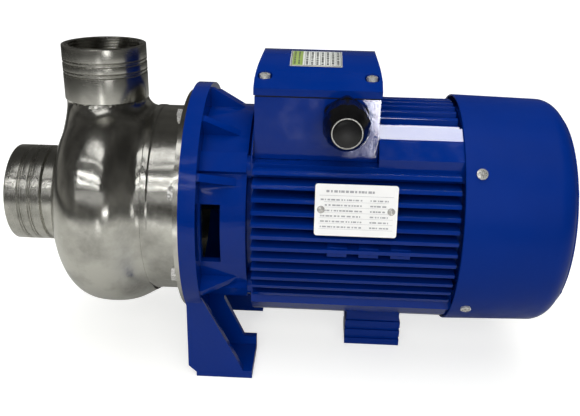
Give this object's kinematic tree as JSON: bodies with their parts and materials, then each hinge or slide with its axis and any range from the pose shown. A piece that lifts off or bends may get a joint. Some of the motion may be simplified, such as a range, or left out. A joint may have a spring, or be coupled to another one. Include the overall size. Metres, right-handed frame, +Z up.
{
  "type": "centrifugal water pump",
  "caption": "Close-coupled end-suction centrifugal water pump with a pressed stainless casing and a finned fan-cooled electric motor on a cast bracket foot.",
  "frame": {"origin": "middle of the bracket's two foot bolts, on the floor plane under the feet", "axes": "+X along the shaft from the suction towards the motor's fan, +Z up along the discharge; the shaft's axis is 130 mm above the floor plane"},
  "size_m": [0.454, 0.199, 0.261],
  "materials": {
    "polished_stainless": "polished pressed stainless sheet",
    "turned_stainless": "turned stainless steel with fine lathe lines",
    "cast_stainless": "investment-cast stainless steel, lightly polished",
    "blue_enamel": "semi-gloss cobalt blue enamel over casting",
    "zinc_screw": "bright zinc-plated steel",
    "machined_steel": "ground steel",
    "spring_steel": "drawn spring steel",
    "bearing_steel": "ground and polished bearing steel",
    "cage_brass": "machined brass",
    "terminal_brass": "bright brass",
    "lamination_steel": "stacked electrical steel sheet",
    "copper_winding": "varnished copper wire",
    "black_rubber": "moulded nitrile rubber",
    "seal_carbon": "carbon graphite in a bellows",
    "seal_ceramic": "lapped ceramic",
    "black_nylon": "moulded black nylon",
    "fan_plastic": "moulded glass-filled nylon",
    "board_plastic": "moulded phenolic board",
    "plate_aluminium": "satin printed aluminium",
    "label_film": "printed film label",
    "label_green": "printed green field of the film label",
    "printed_ink": "dark grey printing ink"
  },
  "bodies": {
    "pump": {"volute_casing": "polished_stainless", "joint_ring": "polished_stainless", "seal_plate": "polished_stainless", "suction_socket": "turned_stainless", "discharge_socket": "turned_stainless", "bracket": "blue_enamel", "motor_frame": "blue_enamel", "rear_end_shield": "blue_enamel", "fan_cover": "blue_enamel", "terminal_box": "blue_enamel", "terminal_box_lid": "blue_enamel", "support_foot": "blue_enamel", "casing_bolts": "zinc_screw", "tie_bolts": "zinc_screw", "fan_cover_screws": "zinc_screw", "lid_screws": "zinc_screw", "box_screws": "zinc_screw", "support_foot_screws": "zinc_screw", "wave_washer": "spring_steel", "front_bearing_outer": "bearing_steel", "rear_bearing_outer": "bearing_steel", "terminal_studs": "terminal_brass", "stator_core": "lamination_steel", "stator_winding": "copper_winding", "casing_o_ring": "black_rubber", "seal_cup": "black_rubber", "box_gasket": "black_rubber", "gland_seal": "black_rubber", "seal_seat": "seal_ceramic", "gland_body": "black_nylon", "gland_locknut": "black_nylon", "gland_cap_nut": "black_nylon", "gland_blind_plug": "black_nylon", "terminal_board": "board_plastic", "nameplate": "plate_aluminium", "nameplate_rivets": "plate_aluminium", "lid_label": "label_film"},
    "rotor": {"shaft": "machined_steel", "impeller": "cast_stainless", "impeller_key": "machined_steel", "impeller_washer": "machined_steel", "impeller_nut": "machined_steel", "seal_head": "seal_carbon", "seal_spring": "spring_steel", "slinger": "black_rubber", "rotor_core": "lamination_steel", "front_bearing_inner": "bearing_steel", "rear_bearing_inner": "bearing_steel", "cooling_fan": "fan_plastic", "fan_key": "machined_steel", "fan_circlip": "spring_steel"},
    "front_balls": {"front_bearing_balls": "bearing_steel", "front_bearing_cage": "cage_brass"},
    "rear_balls": {"rear_bearing_balls": "bearing_steel", "rear_bearing_cage": "cage_brass"}
  },
  "joints": [
    {"name": "shaft_spin", "type": "hinge", "parent": "pump", "child": "rotor", "pos_m": [0, 0, 0.13], "axis": [1, 0, 0], "continuous": true},
    {"name": "front_bearing_roll", "type": "hinge", "parent": "pump", "child": "front_balls", "pos_m": [0.0115, 0, 0.13], "axis": [1, 0, 0], "continuous": true},
    {"name": "rear_bearing_roll", "type": "hinge", "parent": "pump", "child": "rear_balls", "pos_m": [0.1903, 0, 0.13], "axis": [1, 0, 0], "continuous": true}
  ],
  "couplings": [
    {"joint": "front_bearing_roll", "follows": "shaft_spin", "ratio": 0.3987},
    {"joint": "rear_bearing_roll", "follows": "shaft_spin", "ratio": 0.3836}
  ]
}
